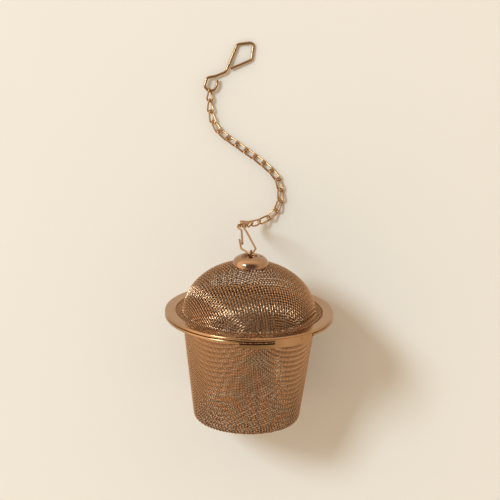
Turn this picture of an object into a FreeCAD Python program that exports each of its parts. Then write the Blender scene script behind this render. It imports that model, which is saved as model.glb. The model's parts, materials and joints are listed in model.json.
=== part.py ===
import FreeCAD, Part
import Sketcher
import math
import os

# Tea infuser: a round wire-mesh basket with a domed mesh lid, a clip, a curb chain and a cup hook.
# It lies on its side on a table with the chain laid out beyond the lid.
#
# Row frame: millimetres, +Z up from the table, +Y from the basket towards the hook, +X to the right.
# Infuser frame: origin at the centre of the rim, +Z along the axis towards the lid, -Y up from the table.

Vector = FreeCAD.Vector
Placement = FreeCAD.Placement
Rotation = FreeCAD.Rotation

# Driving dimensions, in millimetres and degrees.
DIMENSIONS = {
    # woven mesh
    "mesh_gauge": 0.34,
    "brim_radius": 24.2,
    "basket_top_radius": 20.7,
    "basket_bottom_radius": 16.4,
    "basket_depth": 34.1,
    "basket_corner": 1.6,
    "basket_flare": 1.2,
    "dome_radius": 20.5,
    "dome_rise": 15.9,
    # the two rims, each a folded sheet channel
    "rim_outer_radius": 26.1,
    "rim_inner_radius": 22.8,
    "rim_height": 0.86,
    "rim_fold": 0.36,
    "rim_clearance": 0.16,
    "rim_lip": 0.1,
    "sheet_gauge": 0.24,
    # bayonet lugs on the lid's rim and their notches in the basket's rim
    "lug_count": 2,
    "lug_start": -95.5,
    "lug_sweep": 52.5,
    "lug_outer_radius": 26.25,
    "lug_bottom": 2.2,
    "slot_bottom": 1.04,
    "slot_sweep": 23.0,
    "lug_hook_radius": 24.9,
    "lug_dimple_radius": 0.25,
    "lug_dimple_angle": -52.5,
    "lug_dimple_drop": 0.35,
    "notch_radius": 24.6,
    "notch_margin": 1.5,
    # cap, eyelet and washer
    "cap_radius": 5.5,
    "cap_seat": 15.78,
    "cap_rise": 2.9,
    "cap_side": 1.5,
    "cap_side_round": 2.2,
    "cap_shoulder_radius": 3.6,
    "cap_shoulder_round": 3.3,
    "cap_gauge": 0.45,
    "cap_recess_radius": 2.0,
    "cap_recess_depth": 0.5,
    "cap_recess_edge": 0.25,
    "stem_hole_radius": 0.75,
    "eyelet_wire": 0.54,
    "eyelet_leg_offset": 0.31,
    "eyelet_half_width": 1.0,
    "eyelet_crown_half_width": 0.7,
    "eyelet_rise": 1.5,
    "eyelet_bend": 0.5,
    "eyelet_foot": 2.6,
    "foot_gap": 0.025,
    "eyelet_turn": 76.0,
    "washer_radius": 3.6,
    "washer_top": 15.5,
    "washer_gauge": 0.4,
    # wire forms
    "clip_wire": 0.6,
    "hook_wire": 0.88,
    "clip_heading": 1.0,
    "infuser_heading": -1.5,
    # curb chain
    "link_wire": 0.54,
    "link_pitch": 3.5,
    "link_slack": 0.2,
    "link_half_width": 1.12,
    "link_twist": 42.0,
}

# The clip as bent, seen on its own plane: the eyelet holds the corner at the origin, and the eye for
# the chain is at the far end. Its two ends latch side by side. Each corner is (across, along, bend).
CLIP_CORNERS = [
    (-2.5, 4.3, None),
    (-2.75, 10.6, 0.8),
    (-3.95, 11.6, 0.75),
    (-3.6, 13.25, 0.75),
    (-2.35, 13.25, 0.75),
    (-2.0, 11.6, 0.9),
    (-1.15, 9.6, 2.0),
    (1.55, 2.1, 0.8),
    (0.2, -0.58, 1.0),
    (-2.95, 2.3, 0.7),
    (-3.4, 6.3, None),
]
CLIP_HOLD = (-2.98, 13.25)

# The end hook as bent, seen on its own plane: a kite, an S-shaped neck and an eye for the last link.
HOOK_CORNERS = [
    (1.15, 0.15, None),
    (7.75, 2.95, 1.1),
    (8.6, 8.65, 1.1),
    (3.25, 8.0, 1.1),
    (-0.45, -0.95, 1.8),
    (-3.9, -2.3, 3.0),
    (-6.45, -2.75, 1.2),
    (-7.35, -5.6, 1.3),
    (-6.0, -7.15, 1.2),
    (-4.15, -6.75, 1.2),
    (-3.2, -5.0, 1.5),
    (-3.3, -3.45, None),
]
HOOK_HOLD = (-5.6, -7.03)

# The points on the centre of each one's wire that the chain is hooked round are CLIP_HOLD and HOOK_HOLD.

# How the chain lies: each link's heading about +Z from +X, its slope above the table and its roll.
LINK_POSES = [
    (0, -79, 41),
    (0, -84, 34),
    (0, -84, 27),
    (3, -80, 20),
    (7, -66, 13),
    (14, -42, 6),
    (25, -22, 0),
    (42, -9, 0),
    (68, -4, 0),
    (90, -2, 0),
    (104, 0, 0),
    (128, 0, 0),
    (139, 0, 0),
    (142, 0, 0),
    (146, 0, 0),
    (144, 0, 2),
    (146, 1, 8),
    (141, 2, 14),
    (122, 2, 21),
    (104, 3, 28),
    (94, 3, 35),
    (90, 0, 42),
]

# Points closer than this are one point.
SAME_POINT = 1e-6

doc = FreeCAD.newDocument("TeaInfuser")


def make_sheet():
    """The spreadsheet that drives every sub-part."""
    sheet = doc.addObject("Spreadsheet::Sheet", "Sizes")
    for row, (alias, value) in enumerate(DIMENSIONS.items(), start=1):
        sheet.set(f"A{row}", alias)
        sheet.set(f"B{row}", str(value))
        sheet.setAlias(f"B{row}", alias)
    doc.recompute()
    return sheet


sizes = make_sheet()


def size(expression):
    """The value of an expression of the sheet's aliases, such as 'rim_height / 2'."""
    return float(sizes.evalExpression(bound(expression)))


def bound(expression):
    """The same expression as a document object reads it, with each alias taken from the sheet."""
    words = expression.replace("(", " ( ").replace(")", " ) ").split()
    return " ".join(f"Sizes.{word}" if word in DIMENSIONS else word for word in words)


def bind(target, **properties):
    """Bind an object's properties to expressions of the sheet's aliases."""
    for name, expression in properties.items():
        target.setExpression(name, bound(expression))


def origin_feature(body, role):
    """One of a body's own origin planes or axes."""
    return next(item for item in body.Origin.OriginFeatures if item.Role == role)


def new_body(label):
    body = doc.addObject("PartDesign::Body", label)
    body.Label = label
    return body


def new_sketch(body, name, role, turn=0.0):
    """A sketch on one of the body's origin planes, turned about the body's Z axis."""
    sketch = body.newObject("Sketcher::SketchObject", name)
    sketch.AttachmentSupport = [(origin_feature(body, role), "")]
    sketch.MapMode = "FlatFace"
    if turn:
        sketch.AttachmentOffset = Placement(Vector(), Rotation(Vector(0, 1, 0), turn))
    return sketch


def pin_point(sketch, geometry, position, across, up):
    """Hold a point at an expression's distance across and up from the sketch's origin."""
    for kind, expression in (("DistanceX", across), ("DistanceY", up)):
        if expression == "0":
            axis = -2 if kind == "DistanceX" else -1
            sketch.addConstraint(Sketcher.Constraint("PointOnObject", geometry, position, axis))
            continue
        rule = Sketcher.Constraint(kind, -1, 1, geometry, position, size(expression))
        index = sketch.addConstraint(rule)
        sketch.setExpression(f"Constraints[{index}]", bound(expression))


def corner_arc(before, here, after, radius):
    """The tangent arc that rounds a corner: its centre and the points where it starts and ends."""
    back = (before - here).normalize()
    ahead = (after - here).normalize()
    half = back.getAngle(ahead) / 2
    setback = radius / math.tan(half)
    centre = here + (back + ahead).normalize() * (radius / math.sin(half))
    return centre, here + back * setback, here + ahead * setback


def draw_outline(sketch, corners):
    """A closed outline of straight runs. Each corner is (across, up) or (across, up, fillet radius)."""
    points = [Vector(size(corner[0]), size(corner[1]), 0) for corner in corners]
    count = len(points)
    leave = list(points)
    arrive = list(points)
    arcs = {}
    for index, corner in enumerate(corners):
        if len(corner) == 3:
            before, here, after = points[index - 1], points[index], points[(index + 1) % count]
            radius = size(corner[2])
            centre, start, end = corner_arc(before, here, after, radius)
            left_turn = (here - before).cross(after - here).z > 0
            angles = [math.atan2(p.y - centre.y, p.x - centre.x) for p in (start, end)]
            if not left_turn:
                angles.reverse()
            circle = Part.Circle(centre, Vector(0, 0, 1), radius)
            arcs[index] = (Part.ArcOfCircle(circle, *angles), left_turn)
            arrive[index] = start
            leave[index] = end
    runs = []
    for index in range(count):
        segment = Part.LineSegment(leave[index], arrive[(index + 1) % count])
        runs.append(sketch.addGeometry(segment, False))
    for index, corner in enumerate(corners):
        run_in, run_out = runs[index - 1], runs[index]
        if index not in arcs:
            sketch.addConstraint(Sketcher.Constraint("Coincident", run_in, 2, run_out, 1))
            pin_point(sketch, run_out, 1, corner[0], corner[1])
            continue
        shape, left_turn = arcs[index]
        arc = sketch.addGeometry(shape, False)
        first, last = (1, 2) if left_turn else (2, 1)
        sketch.addConstraint(Sketcher.Constraint("Tangent", run_in, 2, arc, first))
        sketch.addConstraint(Sketcher.Constraint("Tangent", arc, last, run_out, 1))
        rule = sketch.addConstraint(Sketcher.Constraint("Radius", arc, size(corner[2])))
        sketch.setExpression(f"Constraints[{rule}]", bound(corner[2]))
        vertex = sketch.addGeometry(Part.Point(points[index]), True)
        sketch.addConstraint(Sketcher.Constraint("PointOnObject", vertex, 1, run_in))
        sketch.addConstraint(Sketcher.Constraint("PointOnObject", vertex, 1, run_out))
        pin_point(sketch, vertex, 1, corner[0], corner[1])


def revolve(body, corners, sweep=None, start=0.0, cut=False):
    """Turn an outline in the body's XZ plane about its Z axis, to add material or to cut it away."""
    role = "PartDesign::Groove" if cut else "PartDesign::Revolution"
    sketch = new_sketch(body, body.Label + "_outline", "XZ_Plane", start)
    draw_outline(sketch, corners)
    feature = body.newObject(role, body.Label + ("_cut" if cut else "_turned"))
    feature.Profile = sketch
    feature.ReferenceAxis = (sketch, ["V_Axis"])
    feature.Angle = 360.0
    if sweep:
        bind(feature, Angle=sweep)
    doc.recompute()
    return feature


def around_axis(body, features):
    """Repeat features once for each lug, evenly around the body's Z axis."""
    pattern = body.newObject("PartDesign::PolarPattern", body.Label + "_pattern")
    pattern.Originals = features
    pattern.Axis = (origin_feature(body, "Z_Axis"), [""])
    pattern.Angle = 360.0
    bind(pattern, Occurrences="lug_count")
    body.Tip = pattern
    doc.recompute()
    return pattern


def tube(label, inner, outer, bottom, height):
    """A ring with square edges about the infuser's axis."""
    walls = []
    for suffix, radius in (("_outside", outer), ("_inside", inner)):
        wall = doc.addObject("Part::Cylinder", label + suffix)
        bind(wall, Radius=radius, Height=height)
        wall.setExpression("Placement.Base.z", bound(bottom))
        walls.append(wall)
    ring = doc.addObject("Part::Cut", label)
    ring.Label = label
    ring.Base, ring.Tool = walls
    return ring


# Heights in the infuser frame that several sub-parts share.
LID_RIM_BOTTOM = "rim_clearance / 2"
LID_RIM_TOP = "rim_clearance / 2 + rim_height"
LID_BRIM_BOTTOM = "rim_clearance / 2 + rim_height / 2 - mesh_gauge / 2"
BASKET_RIM_BOTTOM = "- rim_clearance / 2 - rim_height"
BASKET_BRIM_BOTTOM = "- rim_clearance / 2 - rim_height / 2 - mesh_gauge / 2"
CAP_TOP = "cap_seat + cap_rise"
BASKET_FLOOR = "- basket_depth"


def rim_outline(bottom, top):
    """A sheet channel that is open inwards, where the mesh's brim is held, with a rounded outer fold."""
    channel = "rim_outer_radius - sheet_gauge"
    return [
        ("rim_inner_radius", bottom),
        ("rim_outer_radius", bottom, "rim_fold"),
        ("rim_outer_radius", top, "rim_fold"),
        ("rim_inner_radius", top, "rim_lip"),
        ("rim_inner_radius", top + " - sheet_gauge"),
        (channel, top + " - sheet_gauge"),
        (channel, bottom + " + sheet_gauge"),
        ("rim_inner_radius", bottom + " + sheet_gauge"),
    ]


def make_basket_ring():
    """The basket's rim, with a notch for each lug of the lid."""
    body = new_body("basket_ring")
    revolve(body, rim_outline(BASKET_RIM_BOTTOM, "- rim_clearance / 2"))
    notch = [
        ("notch_radius", "- rim_clearance / 2 - rim_height - sheet_gauge"),
        ("rim_outer_radius + sheet_gauge", "- rim_clearance / 2 - rim_height - sheet_gauge"),
        ("rim_outer_radius + sheet_gauge", "sheet_gauge"),
        ("notch_radius", "sheet_gauge"),
    ]
    start = size("lug_start - notch_margin")
    cut = revolve(body, notch, "lug_sweep + 2 * notch_margin", start, cut=True)
    around_axis(body, [cut])
    return body


def make_lid_ring():
    """The lid's rim, with its turned-down lugs: each has a slot that a stretch of the basket's rim enters."""
    body = new_body("lid_ring")
    revolve(body, rim_outline(LID_RIM_BOTTOM, LID_RIM_TOP))
    start = size("lug_start")
    inner = "lug_outer_radius - sheet_gauge"
    root = "rim_clearance / 2 + rim_height / 2"
    skirt = [
        ("lug_outer_radius", root),
        ("lug_outer_radius", "- lug_bottom"),
        (inner, "- lug_bottom"),
        (inner, "- slot_bottom - sheet_gauge"),
        ("lug_hook_radius", "- slot_bottom - sheet_gauge"),
        ("lug_hook_radius", "- slot_bottom"),
        (inner, "- slot_bottom"),
        (inner, root),
    ]
    lug = revolve(body, skirt, "lug_sweep", start)
    opening = [
        ("lug_outer_radius - 2 * sheet_gauge", "- slot_bottom"),
        ("lug_outer_radius + sheet_gauge", "- slot_bottom"),
        ("lug_outer_radius + sheet_gauge", LID_RIM_BOTTOM),
        ("lug_outer_radius - 2 * sheet_gauge", LID_RIM_BOTTOM),
    ]
    slot = revolve(body, opening, "slot_sweep", start, cut=True)
    dimple = make_dimple(body)
    around_axis(body, [lug, slot, dimple])
    return body


def make_dimple(body):
    """A small round hole through the closed end of a lug."""
    sketch = new_sketch(body, "dimple_outline", "XZ_Plane", size("lug_dimple_angle") + 90)
    circle = Part.Circle(Vector(0, size("- lug_dimple_drop"), 0), Vector(0, 0, 1), 1)
    hole = sketch.addGeometry(circle, False)
    rule = sketch.addConstraint(Sketcher.Constraint("Radius", hole, size("lug_dimple_radius")))
    sketch.setExpression(f"Constraints[{rule}]", bound("lug_dimple_radius"))
    pin_point(sketch, hole, 3, "0", "- lug_dimple_drop")
    pocket = body.newObject("PartDesign::Pocket", "dimple")
    pocket.Profile = sketch
    pocket.Reversed = True
    bind(pocket, Length="lug_outer_radius + sheet_gauge")
    doc.recompute()
    return pocket


def make_basket_mesh():
    """The woven cup: a flat floor, a rounded corner, a tapered wall and a brim held in the rim."""
    body = new_body("basket_mesh")
    brim_top = BASKET_BRIM_BOTTOM + " + mesh_gauge"
    floor_inside = BASKET_FLOOR + " + mesh_gauge"
    outline = [
        ("0", BASKET_FLOOR),
        ("basket_bottom_radius", BASKET_FLOOR, "basket_corner"),
        ("basket_top_radius", BASKET_BRIM_BOTTOM, "basket_flare"),
        ("brim_radius", BASKET_BRIM_BOTTOM),
        ("brim_radius", brim_top),
        ("basket_top_radius - mesh_gauge", brim_top, "basket_flare + mesh_gauge"),
        ("basket_bottom_radius - mesh_gauge", floor_inside, "basket_corner - mesh_gauge"),
        ("0", floor_inside),
    ]
    revolve(body, outline)
    return body


def make_lid_mesh():
    """The woven dome: half an ellipsoid with a flat brim, and a hole at its top for the eyelet's legs."""
    shells = []
    for suffix, less in (("outside", ""), ("inside", " - mesh_gauge")):
        shell = doc.addObject("Part::Ellipsoid", "dome_" + suffix)
        bind(
            shell,
            Radius1="dome_rise" + less,
            Radius2="dome_radius" + less,
            Radius3="dome_radius" + less,
        )
        shell.Angle1 = 0
        shell.setExpression("Placement.Base.z", bound(LID_BRIM_BOTTOM))
        shells.append(shell)
    dome = doc.addObject("Part::Cut", "dome")
    dome.Base, dome.Tool = shells
    brim = tube("dome_brim", "dome_radius - mesh_gauge", "brim_radius", LID_BRIM_BOTTOM, "mesh_gauge")
    whole = doc.addObject("Part::Fuse", "dome_and_brim")
    whole.Base = dome
    whole.Tool = brim
    hole = doc.addObject("Part::Cylinder", "dome_hole")
    bind(hole, Radius="stem_hole_radius", Height=CAP_TOP)
    mesh = doc.addObject("Part::Cut", "lid_mesh")
    mesh.Base = whole
    mesh.Tool = hole
    mesh.Label = "lid_mesh"
    return mesh


def make_lid_cap():
    """The domed cap on top of the lid, drawn from sheet, with a dished centre round the eyelet."""
    body = new_body("lid_cap")
    under = CAP_TOP + " - cap_gauge"
    outline = [
        ("cap_radius", "cap_seat"),
        ("cap_radius", "cap_seat + cap_side", "cap_side_round"),
        ("cap_shoulder_radius", CAP_TOP, "cap_shoulder_round"),
        ("cap_recess_radius", CAP_TOP, "cap_recess_edge"),
        ("cap_recess_radius", CAP_TOP + " - cap_recess_depth"),
        ("stem_hole_radius", CAP_TOP + " - cap_recess_depth"),
        ("stem_hole_radius", under + " - cap_recess_depth"),
        ("cap_recess_radius + cap_gauge", under + " - cap_recess_depth"),
        ("cap_recess_radius + cap_gauge", under),
        ("cap_shoulder_radius - cap_gauge / 4", under, "cap_shoulder_round - cap_gauge"),
        ("cap_radius - cap_gauge", "cap_seat + cap_side - cap_gauge / 2", "cap_side_round - cap_gauge"),
        ("cap_radius - cap_gauge", "cap_seat"),
    ]
    revolve(body, outline)
    return body


def make_eyelet_washer():
    """The washer inside the dome that the eyelet's legs are bent over."""
    bottom = "washer_top - washer_gauge"
    return tube("eyelet_washer", "stem_hole_radius", "washer_radius", bottom, "washer_gauge")


def rounded_path(corners):
    """The edges of an open path of straight runs, with a tangent arc at each corner that has a radius."""
    edges = []
    last = corners[0][0]
    for index in range(1, len(corners) - 1):
        before, here, after = (corners[index + step][0] for step in (-1, 0, 1))
        radius = corners[index][1]
        centre, start, end = corner_arc(before, here, after, radius)
        middle = centre + (here - centre).normalize() * radius
        if (start - last).Length > SAME_POINT:
            edges.append(Part.LineSegment(last, start).toShape())
        edges.append(Part.Arc(start, middle, end).toShape())
        last = end
    edges.append(Part.LineSegment(last, corners[-1][0]).toShape())
    return edges


def wire_along(edges, thickness):
    """Round wire along a path."""
    first = edges[0]
    start = first.valueAt(first.FirstParameter)
    along = first.tangentAt(first.FirstParameter)
    section = Part.Face(Part.Wire([Part.Circle(start, along, thickness / 2).toShape()]))
    return Part.Wire(edges).makePipe(section)


def bent_wire(label, corners, thickness):
    """A piece bent from one length of wire. Each corner is a point and a bend radius."""
    piece = doc.addObject("Part::Feature", label)
    piece.Label = label
    piece.Shape = wire_along(rounded_path(corners), thickness)
    return piece


def flat_corners(corners):
    """The corners of a wire form that is bent in one plane."""
    return [(Vector(across, along, 0), radius) for across, along, radius in corners]


def make_eyelet():
    """The split-pin eyelet: a loop above the cap and two legs bent out under the washer."""
    foot = size("washer_top - washer_gauge - eyelet_wire / 2 - foot_gap")
    neck = size(CAP_TOP + " - eyelet_wire / 4")
    crown = size(CAP_TOP + " + eyelet_rise")
    leg = size("eyelet_leg_offset")
    wide = size("eyelet_half_width")
    bend = size("eyelet_bend")
    half = [
        (size("eyelet_foot"), foot),
        (leg, foot),
        (leg, neck),
        (wide, (neck + crown) / 2),
        (size("eyelet_crown_half_width"), crown),
    ]
    turn = Rotation(Vector(0, 0, 1), size("eyelet_turn"))
    path = [(turn.multVec(Vector(across, 0, up)), bend) for across, up in half]
    path += [(turn.multVec(Vector(-across, 0, up)), bend) for across, up in reversed(half)]
    return bent_wire("eyelet", path, size("eyelet_wire"))


def make_link(label):
    """One twisted curb link about its centre, with its length along X: two halves that meet mid-side."""
    reach = link_reach()
    half = size("link_half_width")
    twist = math.radians(size("link_twist"))
    across = half * math.cos(twist)
    up = half * math.sin(twist)
    halves = []
    for end in (1, -1):
        side = Vector(0, across, 0)
        corner = Vector(end * reach, across, end * up)
        opposite = Vector(end * reach, -across, -end * up)
        bend = half * math.tan((side - corner).getAngle(opposite - corner) / 2)
        path = [(side, None), (corner, bend), (opposite, bend), (-side, None)]
        halves.append(wire_along(rounded_path(path), size("link_wire")))
    link = doc.addObject("Part::Feature", label)
    link.Label = label
    link.Shape = halves[0].fuse(halves[1]).removeSplitter()
    return link


def link_reach():
    """From a link's centre to the centre of the wire at its end."""
    return size("link_pitch / 2 + link_wire / 2 + link_slack / 2")


def lying_infuser():
    """Where the infuser lies: its lower lug and the corner of its floor both rest on the table."""
    lug_reach = size("lug_outer_radius")
    lug_depth = size("lug_bottom")
    floor = size(BASKET_FLOOR)
    corner = size("basket_corner")
    edge = Vector(size("basket_bottom_radius"), floor, 0)
    wall_top = Vector(size("basket_top_radius"), size(BASKET_BRIM_BOTTOM), 0)
    centre = corner_arc(Vector(0, floor, 0), edge, wall_top, corner)[0]
    across = lug_reach - centre.x
    along = -centre.y - lug_depth
    tilt = math.acos(corner / math.hypot(across, along)) - math.atan2(along, across)
    height = lug_reach * math.cos(tilt) + lug_depth * math.sin(tilt)
    stand = Rotation(Vector(1, 0, 0), math.degrees(tilt) - 90)
    heading = Rotation(Vector(0, 0, 1), size("infuser_heading"))
    return Placement(Vector(0, 0, height), heading.multiply(stand))


def link_grip(wire):
    """From a link's centre to the centre of another wire that its end is hooked round."""
    return link_reach() - size(f"link_wire / 2 + {wire} / 2 + link_slack / 2")


def lay_links(start):
    """Each link's placement when the chain hangs from the clip's wire at start."""
    places = []
    hinge = start
    lead = link_grip("clip_wire")
    for heading, slope, roll in LINK_POSES:
        turn = Rotation(heading, -slope, roll)
        along = turn.multVec(Vector(1, 0, 0))
        centre = hinge + along * lead
        places.append(Placement(centre, turn))
        lead = size("link_pitch / 2")
        hinge = centre + along * lead
    return places


def lay_clip(infuser, hold_height):
    """The clip hangs from the eyelet and leans down to the height where the chain is held."""
    neck = size(CAP_TOP + " - eyelet_wire / 4")
    crown = size(CAP_TOP + " + eyelet_rise")
    hinge = infuser.multVec(Vector(0, 0, (neck + crown) / 2))
    lean = math.degrees(math.asin((hinge.z - hold_height) / CLIP_HOLD[1]))
    heading = Rotation(Vector(0, 0, 1), size("clip_heading"))
    return Placement(hinge, heading.multiply(Rotation(Vector(1, 0, 0), -lean)))


def lay_hook(last_link):
    """The hook lies on the table, with its eye held up a little by the last link."""
    hold = last_link.multVec(Vector(link_grip("hook_wire"), 0, 0))
    wire = size("hook_wire / 2")
    far = max(Vector(*corner[:2], 0).dot(Vector(1, 1, 0)) for corner in HOOK_CORNERS)
    run = (far - sum(HOOK_HOLD)) / math.sqrt(2)
    droop = math.degrees(math.asin((hold.z - wire) / run))
    turn = Rotation(Vector(-1, 1, 0), droop)
    return Placement(hold - turn.multVec(Vector(*HOOK_HOLD, 0)), turn)


def make_parts():
    """Every sub-part of the infuser in its own frame, by name."""
    infuser = [
        make_basket_mesh(),
        make_basket_ring(),
        make_lid_mesh(),
        make_lid_ring(),
        make_lid_cap(),
        make_eyelet_washer(),
        make_eyelet(),
    ]
    clip = bent_wire("eyelet_clip", flat_corners(CLIP_CORNERS), size("clip_wire"))
    links = [make_link(f"link_{number:02d}") for number in range(1, len(LINK_POSES) + 1)]
    hook = bent_wire("end_hook", flat_corners(HOOK_CORNERS), size("hook_wire"))
    return infuser, clip, links, hook


def lay_parts(infuser, clip, links, hook):
    """Put every sub-part where it lies, with the origin under the middle of the whole object."""
    resting = -links[0].Shape.optimalBoundingBox().ZMin
    level = [slope for heading, slope, roll in LINK_POSES].index(0)
    hold_height = resting - lay_links(Vector())[level].Base.z
    infuser_place = lying_infuser()
    clip_place = lay_clip(infuser_place, hold_height)
    link_places = lay_links(clip_place.multVec(Vector(*CLIP_HOLD, 0)))
    places = [(part, infuser_place) for part in infuser]
    places += [(clip, clip_place)]
    places += list(zip(links, link_places))
    places += [(hook, lay_hook(link_places[-1]))]
    for part, place in places:
        part.Placement = place
    doc.recompute()
    box = Part.makeCompound([part.Shape for part, place in places]).optimalBoundingBox()
    shift = Placement(Vector(-box.Center.x, -box.Center.y, -box.ZMin), Rotation())
    for part, place in places:
        part.Placement = shift.multiply(place)
    doc.recompute()
    return [part for part, place in places]


def write_parts(parts):
    """Check the document, then write each sub-part to its own file."""
    for item in doc.Objects:
        if "Invalid" in item.State or "Error" in item.State:
            raise RuntimeError(f"{item.Label} did not build: {item.State}")
    for part in parts:
        if part.Shape.isNull() or not part.Shape.isValid() or len(part.Shape.Solids) != 1:
            raise RuntimeError(f"{part.Label} is not one sound solid")
    os.makedirs("parts", exist_ok=True)
    for part in parts:
        part.Shape.exportStep(f"parts/{part.Label}.step")


parts = lay_parts(*make_parts())
write_parts(parts)
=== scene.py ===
import json
import math

import bpy
import numpy as np
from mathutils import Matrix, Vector


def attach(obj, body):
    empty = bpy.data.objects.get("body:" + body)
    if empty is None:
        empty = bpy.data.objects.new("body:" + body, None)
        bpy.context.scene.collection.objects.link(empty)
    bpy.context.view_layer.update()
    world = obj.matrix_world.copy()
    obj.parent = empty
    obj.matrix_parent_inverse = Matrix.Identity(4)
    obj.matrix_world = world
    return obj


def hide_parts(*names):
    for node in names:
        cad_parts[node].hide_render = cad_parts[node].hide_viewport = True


# Tea infuser lying on a table, seen from straight above. Metres, in the CAD frame.
# The basket and the dome are woven from single wires; every other piece is the CAD solid itself.

MM = 0.001

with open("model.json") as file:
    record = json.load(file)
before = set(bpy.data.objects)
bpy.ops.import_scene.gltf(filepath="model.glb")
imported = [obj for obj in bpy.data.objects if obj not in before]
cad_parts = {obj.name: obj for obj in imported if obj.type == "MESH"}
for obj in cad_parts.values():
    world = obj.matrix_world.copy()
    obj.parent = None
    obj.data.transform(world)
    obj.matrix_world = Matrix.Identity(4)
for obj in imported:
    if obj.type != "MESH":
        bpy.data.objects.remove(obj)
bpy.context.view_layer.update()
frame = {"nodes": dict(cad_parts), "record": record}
record = frame["record"]
nodes = frame["nodes"]

# The infuser's own frame: origin at the rim's centre, +Z along the axis towards the lid, -Y up.
BASKET_DEPTH = 34.1
floor_mount = next(m for m in record["mounts"] if m["name"] == "basket_floor")
axis = -Vector(floor_mount["axis"]).normalized()
across = axis.cross(Vector((0, 0, 1))).normalized()
down = axis.cross(across)
rim_centre = Vector(floor_mount["pos_m"]) + axis * (BASKET_DEPTH * MM)
TURN = np.array([across, down, axis])
ORIGIN = np.array(rim_centre)

# The wire cloth, in millimetres.
PITCH = 0.84
WIRE_RADIUS = 0.145
CRIMP = 0.15
SIDES = 6
BRIM_RADIUS = 23.9
SHORTEST_RUN = 4

# How the cloth is laid: on a coarse net, COARSE pitches to a cell, which is then made finer.
COARSE = 3
SPARE_CELLS = 2
LOCK_ANGLE = 34.0
SQUEEZE = 0.15
STIFFNESS = 0.3
DRAPE_ROUNDS = 800
KEEP_SPEED = 0.9
PUSH_SHARE = 0.06
CORNER_STRETCH = 0.3
POLE_LIMIT = 0.3
TINY = 1e-6
PROFILE_STEP = 0.15
KERNEL_WIDTHS = 3

# The drawn shapes, along the middle of the cloth.
SKIN = 0.17
FLOOR_RADIUS = 16.4
MOUTH_RADIUS = 20.7
BRIM_LEVEL = 0.51
NET_LIMIT = 60.0
DOME_RISE = 15.9 - SKIN
DOME_RADIUS = 20.5 - SKIN
DOME_FOOT = 0.34
DOME_POINTS = 60
BASKET_SOFTNESS = 0.7
DOME_SOFTNESS = 0.5
BASKET_TURN = -81.5
DOME_TURN = -70.0


def smooth_profile(corners, spread):
    """A profile line (radius, height) through corners, softly rounded, as arc length, radius, height."""
    step = PROFILE_STEP
    points = [np.array(corners[0], float)]
    for corner in corners[1:]:
        corner = np.array(corner, float)
        count = max(1, int(np.linalg.norm(corner - points[-1]) / step))
        start = points[-1]
        points += [start + (corner - start) * k / count for k in range(1, count + 1)]
    line = np.array(points)
    reach = int(KERNEL_WIDTHS * spread / step)
    kernel = np.exp(-0.5 * (np.arange(-reach, reach + 1) * step / spread) ** 2)
    kernel /= kernel.sum()
    mirrored = line[reach:0:-1] * np.array([-1, 1])
    tail = line[-1] + (line[-1] - line[-2]) * np.arange(1, reach + 1)[:, None]
    padded = np.vstack([mirrored, line, tail])
    line = np.stack([np.convolve(padded[:, k], kernel, "valid") for k in (0, 1)], axis=1)
    line[0, 0] = 0
    length = np.concatenate([[0], np.cumsum(np.linalg.norm(np.diff(line, axis=0), axis=1))])
    return length, line[:, 0], line[:, 1]


class Surface:
    """A surface of revolution under cloth. A point (a, b) is its arc length from the pole, as a vector."""

    def __init__(self, corners, spread):
        self.s, self.r, self.z = smooth_profile(corners, spread)
        self.dr = np.gradient(self.r, self.s)
        self.dz = np.gradient(self.z, self.s)

    def parts(self, ab):
        s = np.maximum(np.linalg.norm(ab, axis=-1), TINY)
        unit = ab / s[..., None]
        r = np.interp(s, self.s, self.r)
        z = np.interp(s, self.s, self.z)
        dr = np.interp(s, self.s, self.dr)
        dz = np.interp(s, self.s, self.dz)
        return s, unit, r, z, dr, dz

    def place(self, ab):
        s, unit, r, z, _, _ = self.parts(ab)
        return np.concatenate([unit * r[..., None], z[..., None]], axis=-1)

    def normal(self, ab):
        _, unit, _, _, dr, dz = self.parts(ab)
        return np.concatenate([-unit * dz[..., None], dr[..., None]], axis=-1)

    def push(self, ab, force):
        """A force in space as a step of (a, b)."""
        s, unit, r, _, dr, dz = self.parts(ab)
        along = (force[..., :2] * unit).sum(-1) * dr + force[..., 2] * dz
        side = np.stack([-unit[..., 1], unit[..., 0]], axis=-1)
        around = (force[..., :2] * side).sum(-1) * s / np.maximum(r, POLE_LIMIT * s)
        return unit * along[..., None] + side * around[..., None]


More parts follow.
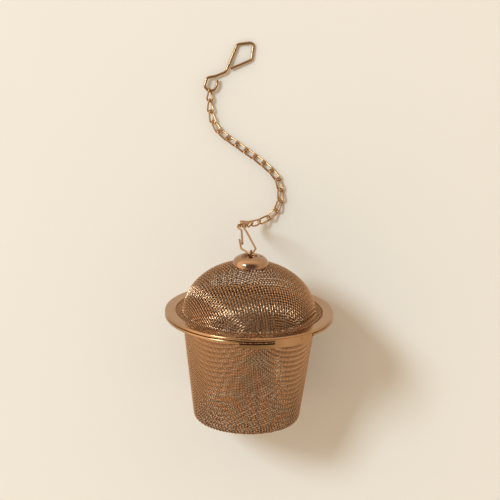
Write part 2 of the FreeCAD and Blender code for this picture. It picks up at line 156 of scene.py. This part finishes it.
def drape(surface, reach):
    """Lays a square-woven sheet on the surface. Wires keep their spacing; cells shear until they lock."""
    cell = PITCH * COARSE
    half = int(reach / cell) + SPARE_CELLS
    grid = np.arange(-half, half + 1) * cell
    u, v = np.meshgrid(grid, grid, indexing="ij")
    rho = np.hypot(u, v)
    sheared = np.sin(2 * np.arctan2(v, u)) ** 2
    stretch = 1 + CORNER_STRETCH * sheared * np.clip(rho / reach, 0, 1)
    ab = np.stack([u, v], axis=-1) * stretch[..., None]
    live = rho < reach + SPARE_CELLS * cell
    locked = 2 * cell * math.sin(math.radians(LOCK_ANGLE / 2))
    links = [((1, 0), cell, False), ((0, 1), cell, False), ((1, 1), locked, True), ((1, -1), locked, True)]
    speed = np.zeros_like(ab)
    size = len(grid)
    for _ in range(DRAPE_ROUNDS):
        space = surface.place(ab)
        force = np.zeros_like(space)
        for (i, j), rest, lock in links:
            a = (slice(0, size - i), slice(max(0, -j), size - max(0, j)))
            b = (slice(i, size), slice(max(0, j), size + min(0, j)))
            gap = space[b] - space[a]
            length = np.maximum(np.linalg.norm(gap, axis=-1), TINY)
            pull = (length - rest) / length
            pull = np.minimum(pull, 0) if lock else np.where(pull < 0, pull * SQUEEZE, pull)
            pull = gap * (pull * (live[a] & live[b]))[..., None]
            force[a] += pull
            force[b] -= pull
        for way in (0, 1):
            line, alive, push = (np.moveaxis(x, way, 0) for x in (space, live, force))
            curl = (line[2:] - 2 * line[1:-1] + line[:-2]) * STIFFNESS
            curl = curl * (alive[2:] & alive[1:-1] & alive[:-2])[..., None]
            push[2:] -= curl
            push[:-2] -= curl
            push[1:-1] += 2 * curl
        speed = speed * KEEP_SPEED + surface.push(ab, force) * PUSH_SHARE
        ab = ab + speed * live[..., None]
    ab[~live] = np.nan
    return ab


def finer(values, times):
    """Smooth values between the rows of a grid, by cubic steps along its first axis."""
    count = len(values)
    t = np.arange((count - 1) * times + 1) / times
    k = np.minimum(t.astype(int), count - 2)
    f = (t - k)[:, None, None]
    p0, p1, p2, p3 = (values[np.clip(k + o, 0, count - 1)] for o in (-1, 0, 1, 2))
    bend = 2 * p0 - 5 * p1 + 4 * p2 - p3
    twist = 3 * p1 - p0 - 3 * p2 + p3
    return 0.5 * (2 * p1 + (p2 - p0) * f + bend * f**2 + twist * f**3)


def tubes(name, paths, radius):
    """One mesh of round wires. Each path is (points, normals, lifts), in the infuser's frame and in mm."""
    verts = []
    outward = []
    faces = []
    base = 0
    angles = np.arange(SIDES) * 2 * math.pi / SIDES
    for points, normals, lifts in paths:
        tangent = np.gradient(points, axis=0)
        tangent /= np.linalg.norm(tangent, axis=1)[:, None]
        side = np.cross(tangent, normals)
        side /= np.linalg.norm(side, axis=1)[:, None]
        up = np.cross(side, tangent)
        ring = up[:, None] * np.cos(angles)[None, :, None] + side[:, None] * np.sin(angles)[None, :, None]
        body = (points[:, None] + ring * radius).reshape(-1, 3)
        verts.append(body)
        # How far out on its crossing each point lies, from -1 in the hollow to 1 on the crown; the wire cloth
        # material paints shade and highlight from it.
        outward.append(((lifts[:, None] + np.cos(angles) * radius) / (CRIMP + radius)).ravel())
        count = len(points)
        k = np.arange(count - 1)[:, None] * SIDES
        m = np.arange(SIDES)[None, :]
        n = (m + 1) % SIDES
        quads = np.stack([k + m, k + n, k + SIDES + n, k + SIDES + m], axis=-1).reshape(-1, 4) + base
        faces += quads.tolist()
        faces.append([base + i for i in reversed(range(SIDES))])
        faces.append([base + (count - 1) * SIDES + i for i in range(SIDES)])
        base += len(body)
    placed = np.vstack(verts) * MM @ TURN + ORIGIN
    mesh = bpy.data.meshes.new(name)
    mesh.from_pydata(placed.tolist(), [], faces)
    mesh.polygons.foreach_set("use_smooth", [len(f) == 4 for f in faces])
    mesh.attributes.new("outward", "FLOAT", "POINT").data.foreach_set("value", np.concatenate(outward))
    mesh.update()
    piece = bpy.data.objects.new(name, mesh)
    bpy.context.scene.collection.objects.link(piece)
    return piece


def weave(label, surface, turn, sign):
    """The two sets of wires of one drawn cloth, warp and weft, each as its own piece."""
    trim = np.interp(BRIM_RADIUS, surface.r, surface.s)
    ab = drape(surface, trim)
    fine = finer(finer(ab, COARSE).transpose(1, 0, 2), COARSE).transpose(1, 0, 2)
    angle = math.radians(turn)
    spin = np.array([[math.cos(angle), math.sin(angle)], [-math.sin(angle), math.cos(angle)]])
    pieces = []
    for name, grid in (("warp", fine), ("weft", fine.transpose(1, 0, 2))):
        shift = 0 if name == "warp" else 1
        paths = []
        for row in range(grid.shape[0]):
            line = grid[row]
            inside = np.linalg.norm(np.nan_to_num(line, nan=1e3), axis=1) < trim
            edges = np.flatnonzero(np.diff(np.concatenate([[0], inside.astype(int), [0]])))
            for first, last in zip(edges[::2], edges[1::2]):
                if last - first < SHORTEST_RUN:
                    continue
                ab_run = line[first:last] @ spin
                points = surface.place(ab_run)
                normals = surface.normal(ab_run) * sign
                lifts = np.where((np.arange(first, last) + row + shift) % 2, CRIMP, -CRIMP)
                paths.append((points + normals * lifts[:, None], normals, lifts))
        pieces.append(tubes(f"{label}_{name}", paths, WIRE_RADIUS))
    return pieces


basket_corners = [
    (0, -BASKET_DEPTH + SKIN),
    (FLOOR_RADIUS - SKIN, -BASKET_DEPTH + SKIN),
    (MOUTH_RADIUS - SKIN, -BRIM_LEVEL),
    (NET_LIMIT, -BRIM_LEVEL),
]
dome_corners = [
    (DOME_RADIUS * math.sin(t), DOME_FOOT + DOME_RISE * math.cos(t))
    for t in np.linspace(0, math.pi / 2, DOME_POINTS)
]
dome_corners += [(DOME_RADIUS, BRIM_LEVEL), (NET_LIMIT, BRIM_LEVEL)]


# ---------------------------------------------------------------- materials

def new_material(name):
    material = bpy.data.materials.new(name)
    material.use_nodes = True
    tree = material.node_tree
    shader = tree.nodes["Principled BSDF"]
    return material, tree, shader


SMUDGE_SCALE = 60.0
GRAIN_SCALE = 900.0
GRAIN_STRENGTH = 0.06
GRAIN_DEPTH = 0.1 * MM
SMUDGE_RANGE = (0.3, 0.7)
# Where on each crossing the wire cloth's painted shade starts to give way to its painted highlight.
SHADE_TO_HIGHLIGHT_START = -0.4


def metal(name, colour, tint, roughness):
    """Plated metal: colour drifts towards a tint in soft patches, roughness varies, fine grain bump."""
    material, tree, shader = new_material(name)
    add, wire = tree.nodes.new, tree.links.new
    place = add("ShaderNodeTexCoord")
    patches = add("ShaderNodeTexNoise")
    patches.inputs["Scale"].default_value = SMUDGE_SCALE
    patches.inputs["Detail"].default_value = 3.0
    wire(place.outputs["Object"], patches.inputs["Vector"])
    mix = add("ShaderNodeMix")
    mix.data_type = "RGBA"
    mix.inputs["A"].default_value = (*colour, 1)
    mix.inputs["B"].default_value = (*tint, 1)
    wire(patches.outputs["Fac"], mix.inputs["Factor"])
    wire(mix.outputs["Result"], shader.inputs["Base Color"])
    spread = add("ShaderNodeMapRange")
    spread.inputs["From Min"].default_value = SMUDGE_RANGE[0]
    spread.inputs["From Max"].default_value = SMUDGE_RANGE[1]
    spread.inputs["To Min"].default_value = roughness[0]
    spread.inputs["To Max"].default_value = roughness[1]
    wire(patches.outputs["Fac"], spread.inputs["Value"])
    wire(spread.outputs["Result"], shader.inputs["Roughness"])
    fine = add("ShaderNodeTexNoise")
    fine.inputs["Scale"].default_value = GRAIN_SCALE
    fine.inputs["Detail"].default_value = 2.0
    wire(place.outputs["Object"], fine.inputs["Vector"])
    bump = add("ShaderNodeBump")
    bump.inputs["Strength"].default_value = GRAIN_STRENGTH
    bump.inputs["Distance"].default_value = GRAIN_DEPTH
    wire(fine.outputs["Fac"], bump.inputs["Height"])
    wire(bump.outputs["Normal"], shader.inputs["Normal"])
    shader.inputs["Metallic"].default_value = 1.0
    return material


def wear_with_painted_shade(material, painted_hollow_shade, painted_crown_highlight):
    """Wire cloth: painted shade in its hollows and a painted highlight on the outside of each crossing,
    partly wear but mostly painted light.
    """
    tree = material.node_tree
    add, wire = tree.nodes.new, tree.links.new
    shader = tree.nodes["Principled BSDF"]
    outward = add("ShaderNodeAttribute")
    outward.attribute_name = "outward"
    # Painted shade in the hollows, rising to a painted highlight on the crowns, by how far out each point of
    # the wire lies.
    shade_to_highlight = add("ShaderNodeMapRange")
    shade_to_highlight.inputs["From Min"].default_value = SHADE_TO_HIGHLIGHT_START
    shade_to_highlight.inputs["From Max"].default_value = 1.0
    wire(outward.outputs["Fac"], shade_to_highlight.inputs["Value"])
    blend = add("ShaderNodeMix")
    blend.data_type = "RGBA"
    blend.inputs["A"].default_value = (*painted_hollow_shade, 1)
    blend.inputs["B"].default_value = (*painted_crown_highlight, 1)
    wire(shade_to_highlight.outputs["Result"], blend.inputs["Factor"])
    plated = shader.inputs["Base Color"].links[0].from_socket
    product = add("ShaderNodeMix")
    product.data_type = "RGBA"
    product.blend_type = "MULTIPLY"
    product.inputs["Factor"].default_value = 1.0
    wire(blend.outputs["Result"], product.inputs["A"])
    wire(plated, product.inputs["B"])
    wire(product.outputs["Result"], shader.inputs["Base Color"])


def paint(node, material):
    for holder in nodes[node].material_slots:
        holder.material = material


cloth = metal("woven_wire", (0.86, 0.82, 0.78), (1.0, 1.0, 1.0), (0.13, 0.22))
# Wire cloth colours: a near-black painted shade for the hollows and a bright painted highlight for the crowns
# of the crossings, partly wear.
wear_with_painted_shade(cloth, (0.045, 0.018, 0.007), (0.82, 0.47, 0.25))
rim = metal("rim_plating", (0.50, 0.29, 0.14), (0.41, 0.22, 0.10), (0.13, 0.24))
cap = metal("cap_plating", (0.46, 0.27, 0.16), (0.39, 0.22, 0.12), (0.08, 0.16))
bright = metal("wire_plating", (0.46, 0.27, 0.13), (0.34, 0.19, 0.09), (0.16, 0.28))
chain = metal("chain_plating", (0.60, 0.35, 0.16), (0.42, 0.23, 0.09), (0.18, 0.3))
plain = metal("washer_plating", (0.60, 0.42, 0.32), (0.52, 0.36, 0.27), (0.35, 0.5))

for node in ("basket_ring", "lid_ring"):
    paint(node, rim)
paint("lid_cap", cap)
for node in ("eyelet", "eyelet_clip", "end_hook"):
    paint(node, bright)
paint("eyelet_washer", plain)
for node in nodes:
    if node.startswith("link_"):
        paint(node, chain)
for node in ("basket_mesh", "lid_mesh"):
    paint(node, cloth)

basket = weave("basket_cloth", Surface(basket_corners, BASKET_SOFTNESS), BASKET_TURN, -1)
dome = weave("dome_cloth", Surface(dome_corners, DOME_SOFTNESS), DOME_TURN, 1)
for pieces, body, node in ((basket, "basket", "basket_mesh"), (dome, "lid", "lid_mesh")):
    for piece in pieces:
        piece.data.materials.append(cloth)
        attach(piece, body)
        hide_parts(node)

# ---------------------------------------------------------------- floor, light, camera

PAPER_SCALE = 30.0
PAPER_STRENGTH = 0.05
PAPER_DEPTH = 0.2 * MM
PAPER_ROUGHNESS = 0.9


def paper_material():
    material, tree, shader = new_material("cream_paper")
    add, wire = tree.nodes.new, tree.links.new
    place = add("ShaderNodeTexCoord")
    noise = add("ShaderNodeTexNoise")
    noise.inputs["Scale"].default_value = PAPER_SCALE
    noise.inputs["Detail"].default_value = 8.0
    wire(place.outputs["Object"], noise.inputs["Vector"])
    mix = add("ShaderNodeMix")
    mix.data_type = "RGBA"
    mix.inputs["A"].default_value = (0.875, 0.785, 0.65, 1)
    mix.inputs["B"].default_value = (0.89, 0.80, 0.67, 1)
    wire(noise.outputs["Fac"], mix.inputs["Factor"])
    wire(mix.outputs["Result"], shader.inputs["Base Color"])
    bump = add("ShaderNodeBump")
    bump.inputs["Strength"].default_value = PAPER_STRENGTH
    bump.inputs["Distance"].default_value = PAPER_DEPTH
    wire(noise.outputs["Fac"], bump.inputs["Height"])
    wire(bump.outputs["Normal"], shader.inputs["Normal"])
    shader.inputs["Roughness"].default_value = PAPER_ROUGHNESS
    return material


HALF_TABLE = 1.5
floor_mesh = bpy.data.meshes.new("table")
floor_mesh.from_pydata(
    [(x * HALF_TABLE, y * HALF_TABLE, 0) for x, y in ((-1, -1), (1, -1), (1, 1), (-1, 1))], [], [(0, 1, 2, 3)]
)
floor = bpy.data.objects.new("table", floor_mesh)
bpy.context.scene.collection.objects.link(floor)
floor_mesh.materials.append(paper_material())


def softbox(name, direction, distance, width, power, colour):
    """A square area light that faces the infuser."""
    light = bpy.data.lights.new(name, "AREA")
    light.shape = "SQUARE"
    light.size = width
    light.energy = power
    light.color = colour
    holder = bpy.data.objects.new(name, light)
    bpy.context.scene.collection.objects.link(holder)
    away = Vector(direction).normalized()
    holder.location = rim_centre + away * distance
    holder.rotation_euler = away.to_track_quat("Z", "Y").to_euler()
    return holder


WINDOW_SIDE = (-0.80, 0.42, 1.0)
WINDOW_DISTANCE = 3.0
WINDOW_WIDTH = 0.76
WINDOW_POWER = 61.0
WINDOW_COLOUR = (0.62, 0.81, 1.0)
softbox("window_light", WINDOW_SIDE, WINDOW_DISTANCE, WINDOW_WIDTH, WINDOW_POWER, WINDOW_COLOUR)

# The room: dark overhead, pale walls all round, brighter to the left. Each is (from, to).
WALL_TOP = (0.45, 0.9)
WALL_LIGHT = (1.27, 0.2)
LEFT_TO_RIGHT = (1.35, 0.65)
world = bpy.data.worlds.new("room")
bpy.context.scene.world = world
world.use_nodes = True
room = world.node_tree
sky = room.nodes["Background"]
direction = room.nodes.new("ShaderNodeTexCoord")
split = room.nodes.new("ShaderNodeSeparateXYZ")
height = room.nodes.new("ShaderNodeMapRange")
height.inputs["From Min"].default_value = WALL_TOP[0]
height.inputs["From Max"].default_value = WALL_TOP[1]
height.inputs["To Min"].default_value = WALL_LIGHT[0]
height.inputs["To Max"].default_value = WALL_LIGHT[1]
left = room.nodes.new("ShaderNodeMapRange")
left.inputs["From Min"].default_value = -1.0
left.inputs["From Max"].default_value = 1.0
left.inputs["To Min"].default_value = LEFT_TO_RIGHT[0]
left.inputs["To Max"].default_value = LEFT_TO_RIGHT[1]
both = room.nodes.new("ShaderNodeMath")
both.operation = "MULTIPLY"
room.links.new(direction.outputs["Generated"], split.inputs["Vector"])
room.links.new(split.outputs["Z"], height.inputs["Value"])
room.links.new(split.outputs["X"], left.inputs["Value"])
room.links.new(height.outputs["Result"], both.inputs[0])
room.links.new(left.outputs["Result"], both.inputs[1])
room.links.new(both.outputs["Value"], sky.inputs["Strength"])
sky.inputs["Color"].default_value = (1.0, 0.86, 0.70, 1)
bpy.context.scene.view_settings.view_transform = "Standard"

CAMERA_HEIGHT = 0.7
CAMERA_OFFSET = (0.25 * MM, 19.53 * MM)
LENS = 156.8
SENSOR = 36.0
camera_data = bpy.data.cameras.new("camera")
camera_data.lens = LENS
camera_data.sensor_width = SENSOR
camera = bpy.data.objects.new("camera", camera_data)
bpy.context.scene.collection.objects.link(camera)
camera.location = (rim_centre.x + CAMERA_OFFSET[0], rim_centre.y + CAMERA_OFFSET[1], CAMERA_HEIGHT)
camera.rotation_euler = (0, 0, 0)
bpy.context.scene.camera = camera
